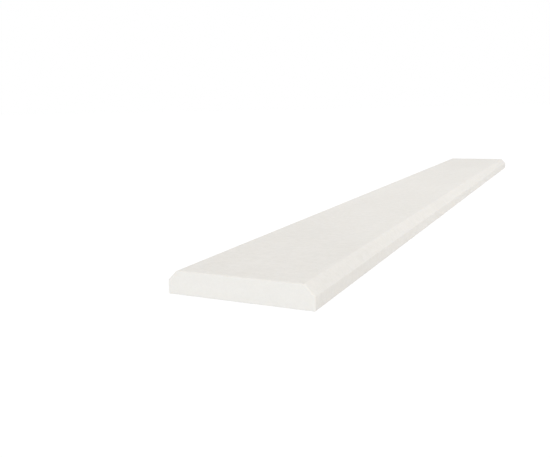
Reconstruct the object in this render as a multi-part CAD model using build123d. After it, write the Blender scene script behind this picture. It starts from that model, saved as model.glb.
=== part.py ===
from build123d import *
import math
import os

# Marble threshold with a bevel along both long top edges, sawn from one slab.
# Millimetres. +Z is up, out of the walked-on top. +Y runs along the length.
# The origin is the centre of the underside, which is bedded on the subfloor.

# Stock sizes
length = 914.4  # 36 in
width = 101.6  # 4 in
thickness = 15.875  # 5/8 in

# Bevels along both long top edges
bevel_face_width = 9.525  # 3/8 in, measured down the slope
bevel_angle = 45  # degrees down from the level top

# Softened edges, as the polishing pads leave them. The bed edge of each end stays as sawn.
top_arris_radius = 3.0
bevel_foot_radius = 1.6
bed_arris_radius = 0.5
end_easing = 0.5


def section_corners():
    """Sharp corners of the section, from the right foot over the top to the left foot."""
    bevel_run = bevel_face_width * math.cos(math.radians(bevel_angle))
    bevel_drop = bevel_face_width * math.sin(math.radians(bevel_angle))
    side = width / 2
    right = [
        (side, 0),
        (side, thickness - bevel_drop),
        (side - bevel_run, thickness),
    ]
    left = [(-x, z) for x, z in reversed(right)]
    return right + left


def bar(outline):
    """A closed outline on the section plane, run along the full length."""
    with BuildPart() as stock:
        with BuildSketch(Plane.XZ):
            add(outline)
            make_face()
        extrude(amount=length / 2, both=True)
    return stock.part


def polished_bar():
    """The full length with every long edge rounded by its own radius."""
    right_radii = [bed_arris_radius, bevel_foot_radius, top_arris_radius]
    radii = right_radii + right_radii[::-1]
    return bar(FilletPolyline(*section_corners(), radius=radii, close=True))


def end_eased_bar():
    """Sharp long edges, and both sawn ends eased at 45 degrees wherever they show once laid."""
    sharp = bar(Polyline(*section_corners(), close=True))
    end_edges = sharp.faces().filter_by(Axis.Y).edges()
    edges_above_bed = end_edges.filter_by(lambda edge: edge.center().Z > 0)
    return chamfer(edges_above_bed, end_easing)


os.makedirs("parts", exist_ok=True)

# What the two bars share has the rounded long edges of one and the eased ends of the other,
# so the easing at the ends may be larger or smaller than any edge radius.
threshold = polished_bar() & end_eased_bar()
threshold.label = "threshold"
export_step(threshold, "parts/threshold.step")

box = threshold.bounding_box()
print("size", [round(value, 3) for value in tuple(box.size)])
print("underside at", round(abs(box.min.Z), 4), "volume", round(threshold.volume, 1))
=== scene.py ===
# %% [markdown]
# # A marble door threshold
# The object is one piece of stone: a long slab, bevelled along both long top edges and sawn square at both
# ends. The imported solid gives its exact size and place. This file gives it a finer surface, three stone
# finishes, a plain studio and a camera.

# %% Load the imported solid
import math

import bpy
from mathutils import Matrix, Vector


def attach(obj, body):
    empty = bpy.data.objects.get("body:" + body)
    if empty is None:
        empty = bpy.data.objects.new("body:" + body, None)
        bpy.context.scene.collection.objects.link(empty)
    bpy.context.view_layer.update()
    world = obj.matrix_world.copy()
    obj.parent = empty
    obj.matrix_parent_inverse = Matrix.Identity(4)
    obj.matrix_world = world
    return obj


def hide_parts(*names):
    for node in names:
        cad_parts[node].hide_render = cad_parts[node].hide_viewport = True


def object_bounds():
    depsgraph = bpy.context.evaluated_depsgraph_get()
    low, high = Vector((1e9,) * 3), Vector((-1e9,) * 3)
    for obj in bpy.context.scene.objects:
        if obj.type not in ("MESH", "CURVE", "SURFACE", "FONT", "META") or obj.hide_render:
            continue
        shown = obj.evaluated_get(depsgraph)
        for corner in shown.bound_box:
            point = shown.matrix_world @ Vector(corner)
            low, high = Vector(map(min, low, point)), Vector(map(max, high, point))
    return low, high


MM = 0.001

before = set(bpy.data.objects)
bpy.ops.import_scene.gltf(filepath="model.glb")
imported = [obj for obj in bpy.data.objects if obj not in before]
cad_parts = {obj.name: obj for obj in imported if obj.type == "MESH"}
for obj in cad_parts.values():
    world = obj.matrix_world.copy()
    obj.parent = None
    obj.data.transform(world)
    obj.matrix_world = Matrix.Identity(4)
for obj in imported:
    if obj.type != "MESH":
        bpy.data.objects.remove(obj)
cad_low, cad_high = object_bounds()
size = cad_high - cad_low

# %% [markdown]
# ## The camera
# The photograph gives no lens data, so the camera was fitted: the slab's outline was measured in the
# picture, and a pinhole camera was turned, moved and zoomed until the known solid's outline fell on it. It
# stands low in front of the near end, a little to the right, and looks along the slab to the left and down.
# The turn is written as three angles, because they can be read, where a matrix can't.

# %% Place the camera
SENSOR_WIDTH = 36.0
PICTURE_WIDTH = 550
FOCAL_PIXELS = 645.7
CAMERA_PLACE = Vector((0.1868, -0.7872, 0.1156))
CAMERA_YAW = math.radians(-25.965)
CAMERA_PITCH = math.radians(-10.588)
CAMERA_ROLL = math.radians(-1.212)


def looking(yaw, pitch, roll):
    """The camera's turn: yaw 0 looks along +Y, pitch is above the level, and roll turns the picture."""
    ahead = Vector((math.sin(yaw) * math.cos(pitch), math.cos(yaw) * math.cos(pitch), math.sin(pitch)))
    right = ahead.cross(Vector((0, 0, 1))).normalized()
    up = right.cross(ahead)
    rolled_right = right * math.cos(roll) + up * math.sin(roll)
    rolled_up = up * math.cos(roll) - right * math.sin(roll)
    return Matrix((rolled_right, rolled_up, -ahead)).transposed().to_4x4()


camera_data = bpy.data.cameras.new("camera")
camera_data.sensor_width = SENSOR_WIDTH
camera_data.lens = FOCAL_PIXELS / PICTURE_WIDTH * SENSOR_WIDTH
camera = bpy.data.objects.new("camera", camera_data)
camera.matrix_world = Matrix.Translation(CAMERA_PLACE) @ looking(CAMERA_YAW, CAMERA_PITCH, CAMERA_ROLL)
bpy.context.scene.collection.objects.link(camera)
bpy.context.scene.camera = camera
print("lens", round(camera_data.lens, 2), "mm")

# %% [markdown]
# ## Writing node trees as sums
# A node tree is a sum drawn as boxes. Written out box by box it is long and hard to check, so this small
# class lets the script write the sum itself: each sign between two numbers adds one Math node. It serves
# the geometry and the materials alike, because Math nodes are the same in both.


# %% Write sums that become nodes
class Number:
    """A number that flows through a node tree."""

    def __init__(self, socket):
        self.socket = socket

    def math(self, operation, *others):
        made = self.socket.id_data.nodes.new("ShaderNodeMath")
        made.operation = operation
        for place, value in enumerate((self, *others)):
            feed(made.inputs[place], value)
        return Number(made.outputs[0])

    def __add__(self, other):
        return self.math("ADD", other)

    def __sub__(self, other):
        return self.math("SUBTRACT", other)

    def __mul__(self, other):
        return self.math("MULTIPLY", other)

    def __truediv__(self, other):
        return self.math("DIVIDE", other)

    def over(self, limit):
        """1 where this number is over the limit, and 0 elsewhere."""
        return self.math("GREATER_THAN", limit)

    def at(self, value):
        """1 where this number is that whole number, and 0 elsewhere."""
        return self.math("COMPARE", value, 0.5)

    def towards(self, other, share):
        """This number at a share of 0, and the other at a share of 1."""
        return self + (other - self) * share

    def swing(self, share):
        """How far this number is above or below a half, times a share."""
        return (self - 0.5) * share

    def ramp(self, low, high):
        """0 up to the low value, 1 from the high value, and a straight slope between."""
        made = self.socket.id_data.nodes.new("ShaderNodeMapRange")
        for name, value in {"Value": self, "From Min": low, "From Max": high}.items():
            feed(made.inputs[name], value)
        return Number(made.outputs["Result"])


def feed(socket, value):
    """Gives a socket its value: a link if the value flows through the tree, or else a plain value."""
    if isinstance(value, Number):
        value = value.socket
    if isinstance(value, bpy.types.NodeSocket):
        socket.id_data.links.new(value, socket)
    else:
        socket.default_value = value


print("sums become Math nodes")

# %% [markdown]
# ## Other nodes, and groups of them
# Any other node is added by one helper, which feeds its inputs by the names they have on screen. Many nodes
# keep hidden inputs of the same names for their other modes, so only those that show are looked at. A group
# is a tree with named inputs and outputs of its own, so that a modifier or a material can set its sizes.


# %% Add nodes and start groups
def add_node(tree, kind, feeds=None, **settings):
    """Adds a node, sets its properties, then feeds the inputs that it shows, by name or by place."""
    made = tree.nodes.new(kind)
    for name, value in settings.items():
        setattr(made, name, value)
    shown = [socket for socket in made.inputs if socket.enabled]
    for key, value in (feeds or {}).items():
        socket = shown[key] if isinstance(key, int) else next(s for s in shown if s.name == key)
        feed(socket, value)
    return made


def result(made, name=None):
    """The output that a node shows, or the one of that name."""
    shown = [socket for socket in made.outputs if socket.enabled]
    return shown[0] if name is None else next(s for s in shown if s.name == name)


def xyz(tree, vector):
    """The three numbers of a vector."""
    return [Number(socket) for socket in add_node(tree, "ShaderNodeSeparateXYZ", {0: vector}).outputs]


def vector_of(tree, x, y, z):
    """A vector made of three numbers."""
    return result(add_node(tree, "ShaderNodeCombineXYZ", {"X": x, "Y": y, "Z": z}))


def new_tree(name, kind, inputs, outputs):
    """A node group with named sockets. It gives the tree, its inputs as numbers and its last node."""
    tree = bpy.data.node_groups.new(name, kind)
    for label, socket_type, value in inputs:
        made = tree.interface.new_socket(label, in_out="INPUT", socket_type=socket_type)
        if value is not None:
            made.default_value = value
    for label, socket_type in outputs:
        tree.interface.new_socket(label, in_out="OUTPUT", socket_type=socket_type)
    start = tree.nodes.new("NodeGroupInput")
    end = tree.nodes.new("NodeGroupOutput")
    given = {socket.name: Number(socket) for socket in start.outputs if socket.name}
    return tree, given, end


print("node helpers ready")

# %% [markdown]
# ## The sizes that the shape follows
# Length, width and thickness are read from the solid, so the two can't drift apart. The solid doesn't say
# how wide its bevels are or how far its edges are rounded, so those sizes are written here, in metres. They
# become the inputs of the section's node tree, next to the number of steps in each arc and on each flat.

# %% Name the driving sizes
LENGTH = size.y
WIDTH = size.x
THICKNESS = size.z
BEVEL_FACE_WIDTH = 9.525 * MM
BEVEL_ANGLE = math.radians(45)
TOP_ARRIS_RADIUS = 3.0 * MM
BEVEL_FOOT_RADIUS = 1.6 * MM
BED_ARRIS_RADIUS = 0.5 * MM
END_EASING = 0.5 * MM

FLOAT = "NodeSocketFloat"
INTEGER = "NodeSocketInt"
SECTION_INPUTS = [
    ("Width", FLOAT, WIDTH),
    ("Thickness", FLOAT, THICKNESS),
    ("Bevel Face Width", FLOAT, BEVEL_FACE_WIDTH),
    ("Bevel Angle", FLOAT, BEVEL_ANGLE),
    ("Top Arris Radius", FLOAT, TOP_ARRIS_RADIUS),
    ("Bevel Foot Radius", FLOAT, BEVEL_FOOT_RADIUS),
    ("Bed Arris Radius", FLOAT, BED_ARRIS_RADIUS),
    ("Arc Steps", INTEGER, 7),
    ("Side Cuts", INTEGER, 7),
    ("Bevel Cuts", INTEGER, 6),
]
print("bevel legs", round(BEVEL_FACE_WIDTH * math.sin(BEVEL_ANGLE) / MM, 2), "mm")

# %% [markdown]
# ## One edge of the section
# A cutter would be ground to this outline: a little of the bed, round its arris, up the side, over the
# bevel and a little onto the top. It is a polyline of five points whose three inner corners are rounded.
# The same group draws it once more a little smaller, set in by the easing, for the face of each end. The
# bed edge isn't eased there, so it is set in by nothing.

# %% Find the outline's corners and radii
LEAD = 1.0 * MM
SMALLEST_RADIUS = 0.02 * MM
QUARTER_TURN = math.pi / 2


def outline_corners(given, inset):
    """The five points as (x, z), on the section or set in from it."""
    angle = given["Bevel Angle"]
    half_turn_at_top = angle * 0.5
    half_turn_at_foot = (angle * -1.0 + QUARTER_TURN) * 0.5
    side = given["Width"] * 0.5 - inset
    top = given["Thickness"] - inset
    run = given["Bevel Face Width"] * angle.math("COSINE")
    drop = given["Bevel Face Width"] * angle.math("SINE")
    foot = given["Thickness"] - drop - inset * half_turn_at_foot.math("TANGENT")
    shoulder = given["Width"] * 0.5 - run - inset * half_turn_at_top.math("TANGENT")
    arc_on_top = given["Top Arris Radius"] * half_turn_at_top.math("TANGENT")
    bed_start = side - given["Bed Arris Radius"] - LEAD
    top_end = shoulder - arc_on_top - LEAD
    return [(bed_start, 0.0), (side, 0.0), (side, foot), (shoulder, top), (top_end, top)]


def outline_radii(given, inset):
    """The radius at each of the five points. The first and the last stay sharp."""
    names = ("Bed Arris Radius", "Bevel Foot Radius", "Top Arris Radius")
    rounded = [(given[name] - inset).math("MAXIMUM", SMALLEST_RADIUS) for name in names]
    return [0.0, *rounded, 0.0]


print("outline leads in and out by", round(LEAD / MM, 2), "mm")

# %% [markdown]
# ## Drawing that outline
# The rounded points could be worked out in Python, but Fillet Curve rounds a corner as a polishing pad
# does, each by its own radius, and the tree then shows how the section is made. An Index Switch hands each
# point its own place and radius. The side and the bevel are then cut into short steps, for even faces.

# %% Draw the edge outline as a curve
GEOMETRY = "NodeSocketGeometry"


def switch_by_index(tree, index, values, data_type):
    """The value whose place in the list is the index. A new switch has room for two already."""
    made = tree.nodes.new("GeometryNodeIndexSwitch")
    made.data_type = data_type
    for _ in values[2:]:
        made.index_switch_items.new()
    feed(made.inputs["Index"], index)
    for place, value in enumerate(values):
        feed(made.inputs[str(place)], value)
    return made.outputs[0]


def edge_outline_tree():
    inputs = [*SECTION_INPUTS, ("Inset", FLOAT, 0.0)]
    tree, given, end = new_tree("edge_outline", "GeometryNodeTree", inputs, [("Curve", GEOMETRY)])
    index = Number(result(add_node(tree, "GeometryNodeInputIndex")))
    corners = outline_corners(given, given["Inset"])
    spots = [vector_of(tree, x, 0.0, z) for x, z in corners]
    spot = switch_by_index(tree, index, spots, "VECTOR")
    radius = switch_by_index(tree, index, outline_radii(given, given["Inset"]), "FLOAT")
    points = add_node(tree, "GeometryNodePoints", {"Count": len(corners), "Position": spot})
    line = add_node(tree, "GeometryNodePointsToCurves", {"Points": result(points)})
    steps = given["Arc Steps"]
    fillet = {"Curve": result(line), "Count": steps, "Radius": radius}
    rounded = add_node(tree, "GeometryNodeFilletCurve", fillet, mode="POLY")
    side_cuts = index.at(steps + 1.0) * given["Side Cuts"]
    bevel_cuts = index.at(steps * 2.0 + 2.0) * given["Bevel Cuts"]
    cut = {"Curve": result(rounded), "Cuts": side_cuts + bevel_cuts}
    feed(end.inputs["Curve"], result(add_node(tree, "GeometryNodeSubdivideCurve", cut)))
    return tree


outline_tree = edge_outline_tree()
print("edge outline", len(outline_tree.nodes), "nodes")

# %% [markdown]
# ## Saw marks
# A diamond blade leaves low, uneven ridges where it has cut. Across the ends a round blade was fed
# sideways, so each ridge is an arc of the blade's own radius. Along the bed the slab was split lengthwise,
# so the ridges are straight. Both are one sum: a phase that grows by one from stroke to stroke, and an
# uneven wave over that phase. The ridges are real relief in the mesh, and the materials use the same sums
# for the finer scratches between them.

# %% Write the saws' phases
BLADE_RADIUS = 175 * MM
BLADE_CENTRE_HEIGHT = 172 * MM
BED_SLANT = 0.004


def arc_phase(x, z, feed_step):
    """Counts the strokes of a round blade that was fed across the width."""
    below_centre = z * -1.0 + BLADE_CENTRE_HEIGHT
    reach = (below_centre * below_centre * -1.0 + BLADE_RADIUS**2).math("SQRT")
    return (x - reach) / feed_step


def straight_phase(x, y, spacing):
    """Counts the ridges that run along the length, at a slight slant."""
    return (x + y * BED_SLANT) / spacing


def uneven_wave(phase, detail):
    """An uneven wave from 0 to 1, with about one swell for each step of the phase."""
    feeds = {"W": phase, "Scale": 1.0, "Detail": detail}
    made = add_node(phase.socket.id_data, "ShaderNodeTexNoise", feeds, noise_dimensions="1D")
    return Number(made.outputs[0])


print("blade", round(BLADE_RADIUS * 2 / MM), "mm across")

# %% [markdown]
# ## The slab
# Sweeping the section with Curve to Mesh would close each end with one flat face, which can't carry saw
# marks. So the slab starts as a box of small squares, and each of its points is moved to its place: its row
# picks a point of the edge outline, its column says how far across that row it lies, and its station says
# how far along. At the first and last station the smaller outline is used, which cuts the easing round
# each end.


# %% Find a box point's place on the slab
SUPPORT = 1.5 * MM


def grid_numbers(tree, given, rows):
    """Each point's share across, from -1 to 1, its station from the middle, the last one and its row."""
    x, y, z = xyz(tree, result(add_node(tree, "GeometryNodeInputPosition")))
    across = x / ((given["Columns"] - 1.0) * 0.5)
    last_station = (given["Stations"] - 1.0) * 0.5
    row = (z + (rows - 1.0) * 0.5).math("ROUND")
    return across, y, last_station, row


def outline_at_row(tree, curve, row):
    """The x and z of the outline's point of that row."""
    spot = result(add_node(tree, "GeometryNodeInputPosition"))
    feeds = {"Geometry": curve, "Value": spot, "Index": row}
    sampled = add_node(tree, "GeometryNodeSampleIndex", feeds, data_type="FLOAT_VECTOR", domain="POINT")
    x, _, z = xyz(tree, result(sampled))
    return x, z


def along_length(given, station, last_station):
    """The y of a station. The last two are where the easing starts and the end, and the rest are even."""
    from_middle = station.math("ABSOLUTE")
    last_even = last_station - 2.0
    even_half = given["Length"] * 0.5 - given["End Easing"] - SUPPORT
    even = from_middle.math("MINIMUM", last_even) / last_even * even_half
    steps_on = from_middle - last_even
    support = steps_on.over(0.5) * SUPPORT
    easing = steps_on.over(1.5) * given["End Easing"]
    return (even + support + easing) * station.math("SIGN")


print("stations close up", round(SUPPORT / MM, 2), "mm before the easing")

# %% [markdown]
# ## Not quite straight
# Polishing by hand is never quite even. The pads lean the bevel in a little, so the line along its top
# wanders, and the honed top is a little hollow here and there. Both stay under a fifth of a millimetre, too
# little to see as a shape, but enough to keep the light on the stone from looking ruled.

# %% Wander and swell
SWELL_SIZE = 90 * MM
SWELL_DETAIL = 1.0
WANDER_SIZE = 70 * MM
WANDER_DETAIL = 1.0
CUT_SEED = 40.0  # so far apart, two stretches of one wave aren't alike


def arris_wander(given, across, y, z):
    """How far the pads have leaned the bevel in: little at its foot, most at its top."""
    waver = uneven_wave(y / WANDER_SIZE + across.math("SIGN") * CUT_SEED, WANDER_DETAIL)
    return waver * z.ramp(given["Thickness"] * 0.5, given["Thickness"]) * given["Arris Wander"]


def top_swell(tree, given, x, y):
    """How far the honing has dished the top."""
    feeds = {"Vector": vector_of(tree, x, y, 0.0), "Scale": 1.0 / SWELL_SIZE, "Detail": SWELL_DETAIL}
    return Number(result(add_node(tree, "ShaderNodeTexNoise", feeds))) * given["Top Swell"]


print("the top swells over", round(SWELL_SIZE / MM), "mm")

# %% [markdown]
# ## Even squares on the ends
# The outline's points crowd together where its arcs are. If the rows kept those heights right across an
# end, the end would be full of slivers. So inside the end the rows spread out to even heights, and only
# close to the edge do they bend back to meet the outline. The marks always cut in and never stand out, so
# the slab stays inside the solid's box.

# %% Place every point
END_RAMP = 0.05
END_MARK_DETAIL = 1.0
BED_MARK_DETAIL = 2.0


def place_points(tree, given, geometry, rows, outlines):
    across, station, last_station, row = grid_numbers(tree, given, rows)
    last_row = rows - 1.0
    at_end = station.math("ABSOLUTE").at(last_station)

    (full_x, full_z), (end_x, end_z) = [outline_at_row(tree, curve, row) for curve in outlines]
    (_, full_low), (_, end_low) = [outline_at_row(tree, curve, 0) for curve in outlines]
    (_, full_high), (_, end_high) = [outline_at_row(tree, curve, last_row) for curve in outlines]
    edge_x = full_x.towards(end_x, at_end)
    edge_z = full_z.towards(end_z, at_end)
    low = full_low.towards(end_low, at_end)
    high = full_high.towards(end_high, at_end)

    y = along_length(given, station, last_station)
    x = (edge_x - arris_wander(given, across, y, edge_z)) * across
    inside = (across.math("ABSOLUTE") * -1.0 + 1.0).ramp(0.0, END_RAMP)
    z = edge_z.towards(low.towards(high, row / last_row), inside)

    end_mark = uneven_wave(arc_phase(x, z, given["Blade Feed"]) + y * CUT_SEED, END_MARK_DETAIL)
    bed_mark = uneven_wave(straight_phase(x, y, given["Bed Mark Spacing"]), BED_MARK_DETAIL)
    y = y - end_mark * given["End Mark Depth"] * at_end * station.math("SIGN")
    z = z + bed_mark * given["Bed Mark Depth"] * row.at(0.0)
    z = z - top_swell(tree, given, x, y) * row.at(last_row)
    feeds = {"Geometry": geometry, "Position": vector_of(tree, x, y, z)}
    return result(add_node(tree, "GeometryNodeSetPosition", feeds))


print("points are placed by row, column and station")

# %% [markdown]
# ## Soft and sharp edges
# The arcs are shaded smooth, while the sawn ends and the easing keep crisp edges, as on the stone. Each
# point also keeps a number called arris: 0 on the flats and 1 where the surface turns. It comes from the
# normal, which on a flat lies along an axis or square to a bevel. The materials read it to make the edges a
# little paler: partly bruised stone, and partly a painted highlight along the arrises.

# %% Mark the edges
SHARP_EDGE = math.radians(30)
FLAT_TURN = 0.004  # both turns are 1 less the cosine of the angle
ROUND_TURN = 0.05


def shade(tree, geometry):
    """Smooth everywhere but over the edges that turn sharply."""
    smooth = result(add_node(tree, "GeometryNodeSetShadeSmooth", {"Geometry": geometry}, domain="FACE"))
    turn = Number(result(add_node(tree, "GeometryNodeInputMeshEdgeAngle")))
    feeds = {"Geometry": smooth, "Selection": turn.over(SHARP_EDGE), "Shade Smooth": False}
    return result(add_node(tree, "GeometryNodeSetShadeSmooth", feeds, domain="EDGE"))


def mark_arrises(tree, given, geometry):
    """Stores how far each point's normal is turned away from the nearest flat."""
    x, y, z = xyz(tree, result(add_node(tree, "GeometryNodeInputNormal")))
    sideways = x.math("ABSOLUTE")
    angle = given["Bevel Angle"]
    on_bevel = sideways * angle.math("SINE") + z * angle.math("COSINE")
    nearest = sideways.math("MAXIMUM", y.math("ABSOLUTE")).math("MAXIMUM", z.math("ABSOLUTE"))
    turned = nearest.math("MAXIMUM", on_bevel) * -1.0 + 1.0
    # Where this mask is 1 the materials paint the edges paler, as bruise and as a painted highlight.
    feeds = {"Geometry": geometry, "Name": "arris", "Value": turned.ramp(FLAT_TURN, ROUND_TURN)}
    stored = add_node(tree, "GeometryNodeStoreNamedAttribute", feeds, data_type="FLOAT", domain="POINT")
    return result(stored)


print("edges over", round(math.degrees(SHARP_EDGE)), "degrees stay crisp")

# %% [markdown]
# ## The slab's own tree
# The parts come together in one tree: two outlines, a box with a row for each of their points, every point
# moved to its place, the edges marked, and a finish for each face. All sizes are named inputs, so another
# threshold can be made from the same tree by changing them.

# %% Put the slab's tree together
MATERIAL = "NodeSocketMaterial"
FACES_ALONG = 0.9


def give_finishes(tree, given, geometry):
    """Honed stone all over, then the saw's finish on the ends and the bed."""
    _, y, z = xyz(tree, result(add_node(tree, "GeometryNodeInputNormal")))
    feeds = {"Geometry": geometry, "Material": given["Honed"]}
    honed = result(add_node(tree, "GeometryNodeSetMaterial", feeds))
    ends = y.math("ABSOLUTE").over(FACES_ALONG)
    feeds = {"Geometry": honed, "Selection": ends, "Material": given["Sawn End"]}
    ended = result(add_node(tree, "GeometryNodeSetMaterial", feeds))
    bed = (z * -1.0).over(FACES_ALONG)
    feeds = {"Geometry": ended, "Selection": bed, "Material": given["Sawn Bed"]}
    return result(add_node(tree, "GeometryNodeSetMaterial", feeds))


def outline_curve(tree, given, inset):
    feeds = {name: given[name] for name, _, _ in SECTION_INPUTS}
    feeds["Inset"] = inset
    return result(add_node(tree, "GeometryNodeGroup", feeds, node_tree=outline_tree))


def slab_tree():
    inputs = [
        ("Length", FLOAT, LENGTH),
        *SECTION_INPUTS,
        ("End Easing", FLOAT, END_EASING),
        ("Columns", INTEGER, 161),
        ("Stations", INTEGER, 101),
        ("Blade Feed", FLOAT, 2.4 * MM),
        ("End Mark Depth", FLOAT, 0.025 * MM),
        ("Bed Mark Spacing", FLOAT, 3.0 * MM),
        ("Bed Mark Depth", FLOAT, 0.09 * MM),
        ("Arris Wander", FLOAT, 0.15 * MM),
        ("Top Swell", FLOAT, 0.05 * MM),
        ("Honed", MATERIAL, None),
        ("Sawn End", MATERIAL, None),
        ("Sawn Bed", MATERIAL, None),
    ]
    tree, given, end = new_tree("threshold_slab", "GeometryNodeTree", inputs, [("Slab", GEOMETRY)])
    outlines = [outline_curve(tree, given, inset) for inset in (0.0, given["End Easing"])]
    counted = add_node(tree, "GeometryNodeAttributeDomainSize", {0: outlines[0]}, component="CURVE")
    rows = Number(result(counted, "Point Count"))
    counts = {"Vertices X": given["Columns"], "Vertices Y": given["Stations"], "Vertices Z": rows}
    box_size = vector_of(tree, given["Columns"] - 1.0, given["Stations"] - 1.0, rows - 1.0)
    box = result(add_node(tree, "GeometryNodeMeshCube", {"Size": box_size, **counts}), "Mesh")
    placed = place_points(tree, given, box, rows, outlines)
    marked = mark_arrises(tree, given, shade(tree, placed))
    realized = result(add_node(tree, "GeometryNodeRealizeInstances", {0: marked}))
    feed(end.inputs["Slab"], give_finishes(tree, given, realized))
    return tree


threshold_tree = slab_tree()
print("slab tree", len(threshold_tree.nodes), "nodes")

# %% [markdown]
# ## The stone
# Honed white marble is a mass of fused calcite crystals, each about a millimetre across. It shows four
# things: soft warm clouds some centimetres wide, a mottle of finer and coarser grain, the crystals
# themselves as faint sugary specks, and a few hair seams. All are weak here, because the photograph's slab
# is nearly even. The crystals are cells of a Voronoi texture. Its plain cells look like cut paper, so they
# are bent by a soft noise and blended a little into each other.

# %% Draw crystals and seams
CRYSTAL_SIZE = 1.2 * MM
CRYSTAL_BEND = 0.35 * MM
CRYSTAL_BEND_SIZE = 2 * CRYSTAL_SIZE
CRYSTAL_BLEND = 0.35
JOINT_WIDTH = 0.12
SEAM_SIZE = 140 * MM
SEAM_DETAIL = 5.0
SEAM_WIDTH = 0.012
SEAM_PATCH_SIZE = 2 * SEAM_SIZE
SEAM_PATCH_DETAIL = 1.0
SEAM_PATCHES = (0.5, 0.62)


def noise(tree, vector, wave_size, detail):
    """Soft noise with waves of that size, from 0 to 1 and mostly near a half."""
    feeds = {"Vector": vector, "Scale": 1.0 / wave_size, "Detail": detail}
    return Number(result(add_node(tree, "ShaderNodeTexNoise", feeds)))


def bent(tree, vector, wave_size, distance):
    """The coordinates pushed about by soft noise, so that what is drawn on them has no straight lines."""
    feeds = {"Vector": vector, "Scale": 1.0 / wave_size, "Detail": 0.0}
    push = result(add_node(tree, "ShaderNodeTexNoise", feeds), "Color")
    feeds = {0: push, 1: (distance,) * 3, 2: vector}
    return result(add_node(tree, "ShaderNodeVectorMath", feeds, operation="MULTIPLY_ADD"))


def crystals(tree, vector, crystal_size):
    """Two random numbers for each crystal, and a line along the joints between crystals."""
    crystals_in_a_metre = crystal_size.math("POWER", -1.0)
    uneven = bent(tree, vector, CRYSTAL_BEND_SIZE, CRYSTAL_BEND)
    feeds = {"Vector": uneven, "Scale": crystals_in_a_metre}
    joints = add_node(tree, "ShaderNodeTexVoronoi", feeds, feature="DISTANCE_TO_EDGE")
    feeds["Smoothness"] = CRYSTAL_BLEND
    cells = add_node(tree, "ShaderNodeTexVoronoi", feeds, feature="SMOOTH_F1")
    tone, gloss, _ = xyz(tree, result(cells, "Color"))
    return tone, gloss, Number(result(joints)).ramp(JOINT_WIDTH, 0.0)


def seams(tree, vector):
    """Hair lines where a bent noise crosses its middle, and only here and there."""
    line = noise(tree, vector, SEAM_SIZE, SEAM_DETAIL) - 0.5
    here = noise(tree, vector, SEAM_PATCH_SIZE, SEAM_PATCH_DETAIL).ramp(*SEAM_PATCHES)
    return line.math("ABSOLUTE").ramp(SEAM_WIDTH, 0.0) * here


print("crystals", round(CRYSTAL_SIZE / MM, 2), "mm")

# %% [markdown]
# ## One block of stone
# Every finish is the same stone, so they share one node group, which reads the object's own coordinates.
# The clouds and seams then run through the slab and meet at its edges, as in a block, where a picture
# wrapped round it would break there. Clouds, mottle and crystals swing the shade to both sides of its
# middle, and seams darken it, each by a share that a finish may set. The shade then mixes two colours.

# %% Make the stone's node group
COLOR = "NodeSocketColor"
VECTOR = "NodeSocketVector"
CLOUD_SIZE = 45 * MM
CLOUD_DETAIL = 4.0
CLOUD_STRETCH = (1.0, 0.4, 1.0)
CLOUD_TURN = (0.0, 0.3, 0.45)
MOTTLE_SIZE = 5 * MM
MOTTLE_DETAIL = 3.0


def turned_and_stretched(tree, vector, turn, stretch):
    """The coordinates turned, and stretched along each axis."""
    feeds = {"Vector": vector, "Rotation": turn, "Scale": stretch}
    return result(add_node(tree, "ShaderNodeMapping", feeds))


def marble_body_group():
    inputs = [
        ("Vector", VECTOR, None),
        ("Light Stone", COLOR, (0.83, 0.805, 0.765, 1.0)),
        ("Shaded Stone", COLOR, (0.75, 0.725, 0.685, 1.0)),
        ("Crystal Size", FLOAT, CRYSTAL_SIZE),
        ("Cloud Share", FLOAT, 0.5),
        ("Mottle Share", FLOAT, 0.5),
        ("Crystal Share", FLOAT, 0.4),
        ("Seam Share", FLOAT, 0.1),
    ]
    outputs = [("Color", COLOR), ("Clouds", FLOAT), ("Gloss", FLOAT), ("Joints", FLOAT)]
    tree, given, end = new_tree("marble_body", "ShaderNodeTree", inputs, outputs)
    vector = given["Vector"]
    drift = turned_and_stretched(tree, vector, CLOUD_TURN, CLOUD_STRETCH)
    clouds = noise(tree, drift, CLOUD_SIZE, CLOUD_DETAIL)
    mottle = noise(tree, vector, MOTTLE_SIZE, MOTTLE_DETAIL)
    tone, gloss, joints = crystals(tree, vector, given["Crystal Size"])
    shaded = clouds.swing(given["Cloud Share"]) + mottle.swing(given["Mottle Share"])
    shaded = shaded + tone.swing(given["Crystal Share"]) + 0.5
    shaded = shaded + seams(tree, drift) * given["Seam Share"]
    feeds = {"Factor": shaded, "A": given["Light Stone"], "B": given["Shaded Stone"]}
    mixed = add_node(tree, "ShaderNodeMix", feeds, data_type="RGBA")
    feed(end.inputs["Color"], result(mixed))
    feed(end.inputs["Clouds"], clouds)
    feed(end.inputs["Gloss"], gloss)
    feed(end.inputs["Joints"], joints)
    return tree


marble_body = marble_body_group()
print("marble body", len(marble_body.nodes), "nodes")

# %% [markdown]
# ## Bruised stone and painted arris highlight
# Where stone is rubbed or sawn, its crystals are bruised and scatter more light, so an arris or a saw
# scratch looks a little paler and duller than the flat beside it. On the arrises that paler colour is also a
# painted highlight along the edges. The mesh says where the arrises are, and the saw's phase says where the
# scratches are. Noise breaks both up, so that neither is a drawn line.

# %% Make the node group for bruised stone and the painted arris highlight
BRUISE_AND_HIGHLIGHT_SIZE = 6 * MM
BRUISE_AND_HIGHLIGHT_DETAIL = 3.0
BRUISE_AND_HIGHLIGHT_PATCHES = (0.3, 0.6)


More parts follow.
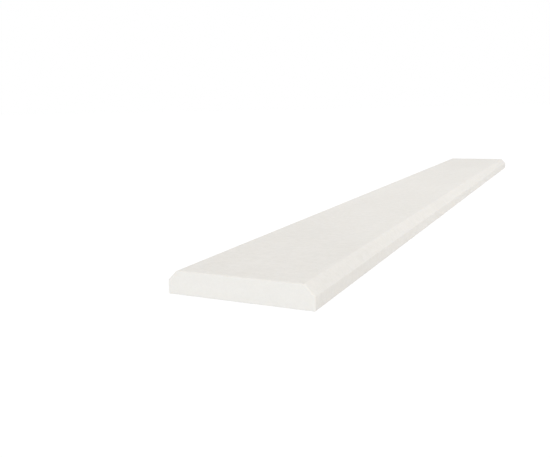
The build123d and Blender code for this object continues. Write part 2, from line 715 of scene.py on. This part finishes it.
def bruised_stone_group():
    inputs = [
        ("Vector", VECTOR, None),
        ("Arris", FLOAT, 0.0),
        ("Scratches", FLOAT, 0.0),
        ("Color", COLOR, (0.8, 0.8, 0.8, 1.0)),
        # The paler colour of bruised stone, which on the arrises is a painted highlight too
        ("Bruised And Highlight Color", COLOR, (0.9, 0.885, 0.86, 1.0)),
        ("Arris Bruise And Highlight", FLOAT, 0.2),
        ("Scratch Strength", FLOAT, 0.0),
    ]
    outputs = [("Color", COLOR), ("Bruise And Highlight", FLOAT)]
    tree, given, end = new_tree("bruised_and_highlighted_stone", "ShaderNodeTree", inputs, outputs)
    broken = noise(tree, given["Vector"], BRUISE_AND_HIGHLIGHT_SIZE, BRUISE_AND_HIGHLIGHT_DETAIL).ramp(*BRUISE_AND_HIGHLIGHT_PATCHES)
    # Arrises: partly bruised stone, partly a painted highlight along the edges. Scratches: bruised stone.
    arris = given["Arris"] * given["Arris Bruise And Highlight"]
    bruise_and_highlight = arris.math("MAXIMUM", given["Scratches"] * given["Scratch Strength"]) * broken
    feeds = {"Factor": bruise_and_highlight, "A": given["Color"], "B": given["Bruised And Highlight Color"]}
    feed(end.inputs["Color"], result(add_node(tree, "ShaderNodeMix", feeds, data_type="RGBA")))
    feed(end.inputs["Bruise And Highlight"], bruise_and_highlight)
    return tree


bruised_and_highlighted_stone = bruised_stone_group()
print("bruised stone", len(bruised_and_highlighted_stone.nodes), "nodes")

# %% [markdown]
# ## Three finishes of one stone
# The top, bevels and sides are honed: flat and smooth, with a soft sheen. The ends show the round blade's
# arcs, and are paler because nothing has polished the bruised crystals away. The bed is the roughest, with
# straight ridges. Each material takes its colour from the shared stone and adds its own roughness and its
# own fine relief. Light goes a little way into marble, so a little of it is scattered under the surface.

# %% Start a finish
SCATTER_WEIGHT = 0.15
SCATTER_DEPTH = 1.5 * MM
SCATTER_COLORS = (1.0, 0.9, 0.75)


def start_finish(name, stone):
    """A material made of that stone. It gives the material, the stone's node and the place on the object."""
    material = bpy.data.materials.new(name)
    material.use_nodes = True
    tree = material.node_tree
    shader = tree.nodes["Principled BSDF"]
    shader.inputs["Subsurface Weight"].default_value = SCATTER_WEIGHT
    shader.inputs["Subsurface Scale"].default_value = SCATTER_DEPTH
    shader.inputs["Subsurface Radius"].default_value = SCATTER_COLORS
    place = result(add_node(tree, "ShaderNodeTexCoord"), "Object")
    body = add_node(tree, "ShaderNodeGroup", {"Vector": place, **stone}, node_tree=marble_body)
    return material, body, place


def finish_color(tree, body, place, scratches=0.0, strength=0.0):
    """Colours the shader with bruised stone, with a painted highlight on the arrises too, and gives that
    mask.
    """
    arris = result(add_node(tree, "ShaderNodeAttribute", attribute_name="arris"), "Fac")
    feeds = {"Vector": place, "Arris": arris, "Scratches": scratches, "Color": result(body, "Color")}
    feeds["Scratch Strength"] = strength
    bruised_and_highlighted = add_node(tree, "ShaderNodeGroup", feeds, node_tree=bruised_and_highlighted_stone)
    # Base colour holds the painted arris highlight as well as the stone's bruise.
    feed(tree.nodes["Principled BSDF"].inputs["Base Color"], result(bruised_and_highlighted, "Color"))
    return Number(result(bruised_and_highlighted, "Bruise And Highlight"))


def finish_surface(tree, roughness, height, depth):
    """Sets the roughness, and fine relief that is that deep, in metres, where the height goes to 1."""
    shader = tree.nodes["Principled BSDF"]
    feed(shader.inputs["Roughness"], roughness)
    feeds = {"Height": height, "Distance": depth, "Strength": 1.0}
    feed(shader.inputs["Normal"], result(add_node(tree, "ShaderNodeBump", feeds)))


print("light goes", round(SCATTER_DEPTH / MM, 2), "mm into the stone")

# %% [markdown]
# ## The honed finish
# A honing pad stops short of a mirror. It leaves a soft sheen that differs a little from crystal to
# crystal, because each takes the polish its own way, and a relief too fine to feel, with the joints between
# the crystals a trace lower.

# %% Write the honed finish
HONED_STONE = {
    "Light Stone": (0.832, 0.807, 0.766, 1.0),
    "Shaded Stone": (0.771, 0.747, 0.703, 1.0),
    "Cloud Share": 1.0,
    "Mottle Share": 1.4,
    "Crystal Share": 0.4,
}
HONED_ROUGHNESS = 0.48
ROUGHNESS_BY_CRYSTAL = 0.12
ROUGHNESS_BY_CLOUD = 0.1
ROUGHNESS_BY_BRUISE = 0.1
POLISH_SIZE = 0.4 * MM
POLISH_DETAIL = 2.0
POLISH_DEPTH = 0.006 * MM
HONED_JOINT_SHARE = 0.5


def honed_finish():
    material, body, place = start_finish("honed_marble", HONED_STONE)
    tree = material.node_tree
    # The mask of the paler arrises, partly bruise and partly painted highlight. It also roughens them.
    bruise_and_highlight = finish_color(tree, body, place)
    clouds, gloss, joints = [Number(result(body, name)) for name in ("Clouds", "Gloss", "Joints")]
    uneven = gloss * ROUGHNESS_BY_CRYSTAL + clouds * ROUGHNESS_BY_CLOUD + bruise_and_highlight * ROUGHNESS_BY_BRUISE
    polish = noise(tree, place, POLISH_SIZE, POLISH_DETAIL)
    finish_surface(tree, uneven + HONED_ROUGHNESS, polish - joints * HONED_JOINT_SHARE, POLISH_DEPTH)
    return material


honed_marble = honed_finish()
print(honed_marble.name, len(honed_marble.node_tree.nodes), "nodes")

# %% [markdown]
# ## The sawn finishes
# Both sawn faces are made by one function: scratches that follow the saw's phase, paler and in relief, with
# grit between them. They differ in the path of the saw, the colour of the stone, and how rough and deep the
# marks are. The ends were cut by a fine blade, and the bed by a coarse one that nobody smoothed after.

# %% Write the two sawn finishes
END_STONE = {
    "Light Stone": (0.855, 0.844, 0.813, 1.0),
    "Shaded Stone": (0.79, 0.779, 0.748, 1.0),
    "Mottle Share": 0.2,
    "Crystal Share": 0.25,
}
END_ROUGHNESS = 0.62
END_SCRATCH_FEED = 0.5 * MM
END_SCRATCH_STRENGTH = 0.35
END_DEPTH = 0.015 * MM

BED_STONE = {
    "Light Stone": (0.86, 0.845, 0.81, 1.0),
    "Shaded Stone": (0.78, 0.765, 0.73, 1.0),
    "Mottle Share": 0.4,
    "Crystal Share": 0.5,
}
BED_ROUGHNESS = 0.7
BED_SCRATCH_SPACING = 0.6 * MM
BED_SCRATCH_STRENGTH = 0.6
BED_DEPTH = 0.05 * MM

SCRATCH_DETAIL = 3.0
PALE_SCRATCHES = (0.5, 0.75)
GRIT_SIZE = 0.35 * MM
GRIT_DETAIL = 3.0
GRIT_SHARE = 0.7
SAWN_JOINT_SHARE = 0.4
SAWN_ROUGHNESS_BY_CRYSTAL = 0.15


def sawn_finish(name, stone, phase_at, strength, roughness, depth):
    """The stone with the marks of a saw, whose phase is found from a place on the object."""
    material, body, place = start_finish(name, stone)
    tree = material.node_tree
    scratches = uneven_wave(phase_at(*xyz(tree, place)), SCRATCH_DETAIL)
    finish_color(tree, body, place, scratches.ramp(*PALE_SCRATCHES), strength)
    gloss, joints = [Number(result(body, name)) for name in ("Gloss", "Joints")]
    grit = noise(tree, place, GRIT_SIZE, GRIT_DETAIL)
    height = scratches + grit * GRIT_SHARE - joints * SAWN_JOINT_SHARE
    finish_surface(tree, gloss * SAWN_ROUGHNESS_BY_CRYSTAL + roughness, height, depth)
    return material


def phase_on_end(x, y, z):
    return arc_phase(x, z, END_SCRATCH_FEED)


def phase_on_bed(x, y, z):
    return straight_phase(x, y, BED_SCRATCH_SPACING)


sawn_end_marble = sawn_finish(
    "sawn_end_marble", END_STONE, phase_on_end, END_SCRATCH_STRENGTH, END_ROUGHNESS, END_DEPTH
)
sawn_bed_marble = sawn_finish(
    "sawn_bed_marble", BED_STONE, phase_on_bed, BED_SCRATCH_STRENGTH, BED_ROUGHNESS, BED_DEPTH
)
finishes = {"Honed": honed_marble, "Sawn End": sawn_end_marble, "Sawn Bed": sawn_bed_marble}
print("finishes", [material.name for material in finishes.values()])

# %% [markdown]
# ## Make the slab
# The tree runs as a modifier on an empty mesh. Its inputs are set by their identifiers, then the evaluated
# result is copied to a plain mesh and the modifier goes. A box made by a node brings an empty material
# slot, which is dropped. The piece rides on the one body that the frame has, and stands for the solid.


# %% Run the tree and keep its mesh
def run_tree(name, tree, values):
    """The tree's result as a plain mesh in an object of that name."""
    piece = bpy.data.objects.new(name, bpy.data.meshes.new(name))
    bpy.context.scene.collection.objects.link(piece)
    modifier = piece.modifiers.new("shape", "NODES")
    modifier.node_group = tree
    for socket in tree.interface.items_tree:
        if socket.in_out == "INPUT" and socket.name in values:
            modifier[socket.identifier] = values[socket.name]
    evaluated = piece.evaluated_get(bpy.context.evaluated_depsgraph_get())
    mesh = bpy.data.meshes.new_from_object(evaluated)
    while None in list(mesh.materials):
        mesh.materials.pop(index=list(mesh.materials).index(None))
    piece.modifiers.clear()
    piece.data = mesh
    return piece


slab = run_tree("marble_slab", threshold_tree, finishes)
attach(slab, "root")
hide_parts("threshold")
slab.data.calc_loop_triangles()
print("slab", len(slab.data.loop_triangles), "triangles", [m.name for m in slab.data.materials])

# %% [markdown]
# ## The white behind
# The photograph is a cut-out on white. The white comes from what the camera sees of the world and floor,
# and not from more light, which would bleach the stone. A ray that shows the background, straight or in the
# stone's sheen, meets a world of full strength, and every other ray meets the plain even light.

# %% Light the world
EVEN_LIGHT = 0.74


def seen_by_camera(tree):
    """1 for a ray that shows the background, straight or in a sheen, and 0 for one that only lights."""
    path = add_node(tree, "ShaderNodeLightPath")
    rays = [Number(path.outputs[name]) for name in ("Is Camera Ray", "Is Glossy Ray", "Is Transmission Ray")]
    return rays[0].math("MAXIMUM", rays[1]).math("MAXIMUM", rays[2])


def light_world():
    world = bpy.data.worlds.new("studio")
    world.use_nodes = True
    bpy.context.scene.world = world
    background = world.node_tree.nodes["Background"]
    background.inputs["Color"].default_value = (1.0, 1.0, 1.0, 1.0)
    strength = seen_by_camera(world.node_tree) * (1.0 - EVEN_LIGHT) + EVEN_LIGHT
    feed(background.inputs["Strength"], strength)


light_world()
bpy.context.scene.view_settings.view_transform = "Standard"
print("even light", EVEN_LIGHT)

# %% [markdown]
# ## The lamps
# The photograph's slab is lit almost evenly: the end is the palest face, then the bevel, the top and the
# side. That order is what one large soft light gives, low in front and to the right. Every face is a little
# paler halfway along than at its ends, which is what a soft lamp over the middle does. Each lamp's light is
# given as the brightness of a white surface that faces it, so all three lights can be compared.

# %% Put up the lamps
KEY_LIGHT = 0.31
KEY_DIRECTION = Vector((0.37, -0.79, 0.49))
KEY_SOFTNESS = math.radians(50)
MIDDLE_LIGHT = 0.124
MIDDLE_PLACE = Vector((0.34, -0.07, 0.73))
MIDDLE_SIZE = 0.5


def add_lamp(data, place, direction):
    """Puts a lamp at its place, shining back along the direction."""
    lamp = bpy.data.objects.new(data.name, data)
    lamp.rotation_mode = "QUATERNION"
    lamp.rotation_quaternion = direction.to_track_quat("Z", "Y")
    lamp.location = place
    bpy.context.scene.collection.objects.link(lamp)


def add_key():
    """A wide sun. At a strength of pi it would show a white surface as white."""
    data = bpy.data.lights.new("key", "SUN")
    data.energy = KEY_LIGHT * math.pi
    data.angle = KEY_SOFTNESS
    add_lamp(data, KEY_DIRECTION, KEY_DIRECTION)


def add_middle_lamp():
    """A square lamp over the middle. Its light thins out with the square of its distance."""
    data = bpy.data.lights.new("middle", "AREA")
    data.shape = "SQUARE"
    data.size = MIDDLE_SIZE
    data.energy = MIDDLE_LIGHT * (math.pi * MIDDLE_PLACE.length) ** 2
    add_lamp(data, MIDDLE_PLACE, MIDDLE_PLACE)


add_key()
add_middle_lamp()
print("key light", KEY_LIGHT, "and", MIDDLE_LIGHT, "over the middle")

# %% [markdown]
# ## The floor
# The floor has two faces. To the light it is pale paint that throws some light back up. To the camera it
# glows almost white, and a little grey on top of that takes the slab's shadow.

# %% Lay the floor
FLOOR_SIZE = 60.0
FLOOR_PAINT = (0.9, 0.9, 0.9, 1.0)
SEEN_PAINT = (0.25, 0.25, 0.25, 1.0)
SEEN_GLOW = 0.8


def floor_material():
    material = bpy.data.materials.new("studio_floor")
    material.use_nodes = True
    tree = material.node_tree
    paint = tree.nodes["Principled BSDF"]
    paint.inputs["Base Color"].default_value = FLOOR_PAINT
    paint.inputs["Roughness"].default_value = 1.0
    paint.inputs["Specular IOR Level"].default_value = 0.0
    shadow = add_node(tree, "ShaderNodeBsdfDiffuse", {"Color": SEEN_PAINT})
    glow = add_node(tree, "ShaderNodeEmission", {"Strength": SEEN_GLOW})
    seen = add_node(tree, "ShaderNodeAddShader", {0: result(shadow), 1: result(glow)})
    feeds = {0: seen_by_camera(tree), 1: result(paint), 2: result(seen)}
    mixed = add_node(tree, "ShaderNodeMixShader", feeds)
    feed(tree.nodes["Material Output"].inputs["Surface"], result(mixed))
    return material


def add_floor():
    half = FLOOR_SIZE / 2
    corners = [(-half, -half, 0), (half, -half, 0), (half, half, 0), (-half, half, 0)]
    mesh = bpy.data.meshes.new("floor")
    mesh.from_pydata(corners, [], [(0, 1, 2, 3)])
    mesh.materials.append(floor_material())
    floor = bpy.data.objects.new("floor", mesh)
    bpy.context.scene.collection.objects.link(floor)


add_floor()
print("floor", FLOOR_SIZE, "m")

# %% [markdown]
# ## Last checks
# The finished slab has to be closed, so its open edges are counted.

# %% Measure and finish
edge_faces = {}
for polygon in slab.data.polygons:
    for key in polygon.edge_keys:
        edge_faces[key] = edge_faces.get(key, 0) + 1
print("open edges", sum(count != 2 for count in edge_faces.values()))
